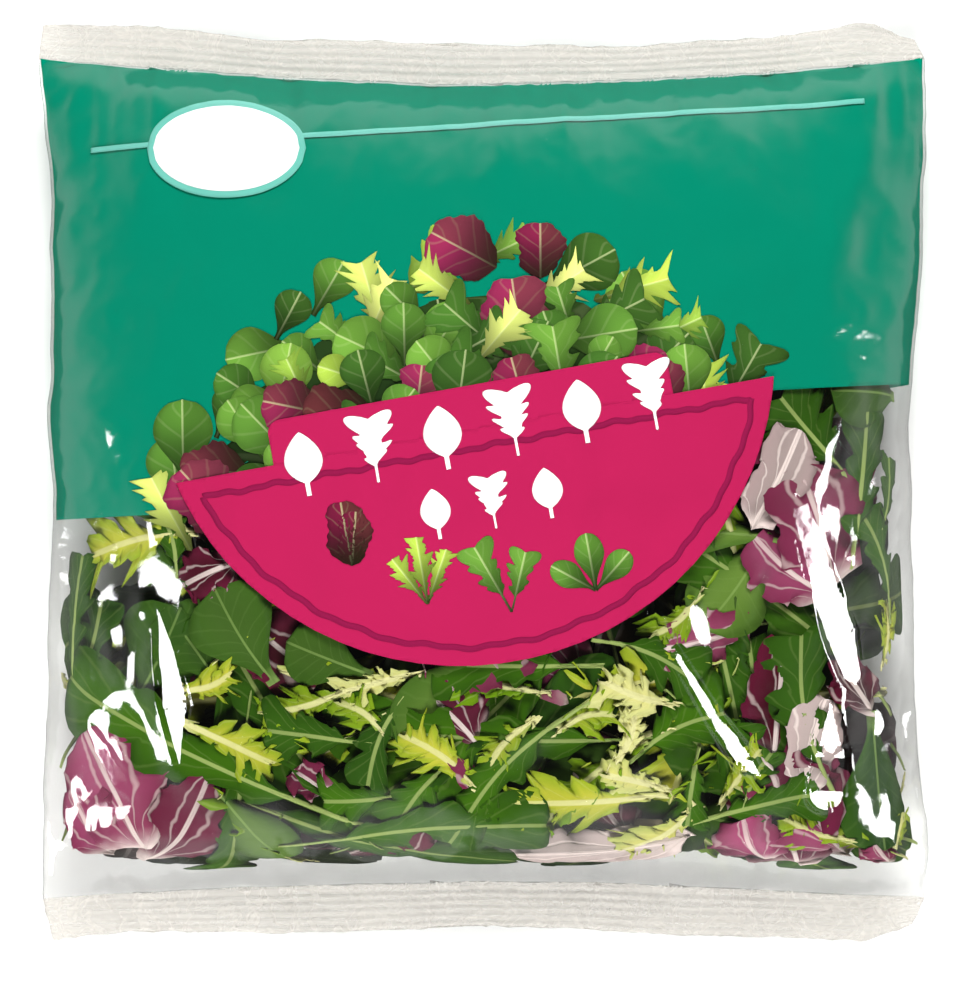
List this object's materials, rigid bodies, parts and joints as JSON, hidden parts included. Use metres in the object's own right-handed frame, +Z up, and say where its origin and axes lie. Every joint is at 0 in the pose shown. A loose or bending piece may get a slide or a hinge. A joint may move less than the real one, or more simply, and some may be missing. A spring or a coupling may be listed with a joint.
{
  "type": "bag of salad leaves",
  "caption": "Sealed pillow bag of mixed salad leaves lying on its back, with ribbed end seals, a green printed field, a crimson half disc and a clear window.",
  "frame": {"origin": "middle of the pack's box, at the floor that it lies on", "axes": "+X across the pack to the right of the printed front, +Y towards the top seal, +Z up out of the printed front"},
  "size_m": [0.2736, 0.2826, 0.0479],
  "materials": {
    "film": "clear glossy polypropylene film, greyish white where two layers are crimped",
    "green_print": "glossy film with an opaque deep green ink behind it",
    "crimson_print": "glossy film with an opaque crimson ink behind it",
    "white_print": "glossy film with an opaque white ink behind it",
    "rocket": "fresh rocket leaf, deep green with a pale rib",
    "lambs_lettuce": "fresh lamb's lettuce leaf, satin mid green",
    "curly_endive": "fresh curly endive, yellow green with a cream rib",
    "radicchio": "fresh radicchio, wine red with white veins"
  },
  "bodies": {
    "root": {"bag": "film"}
  },
  "joints": []
}
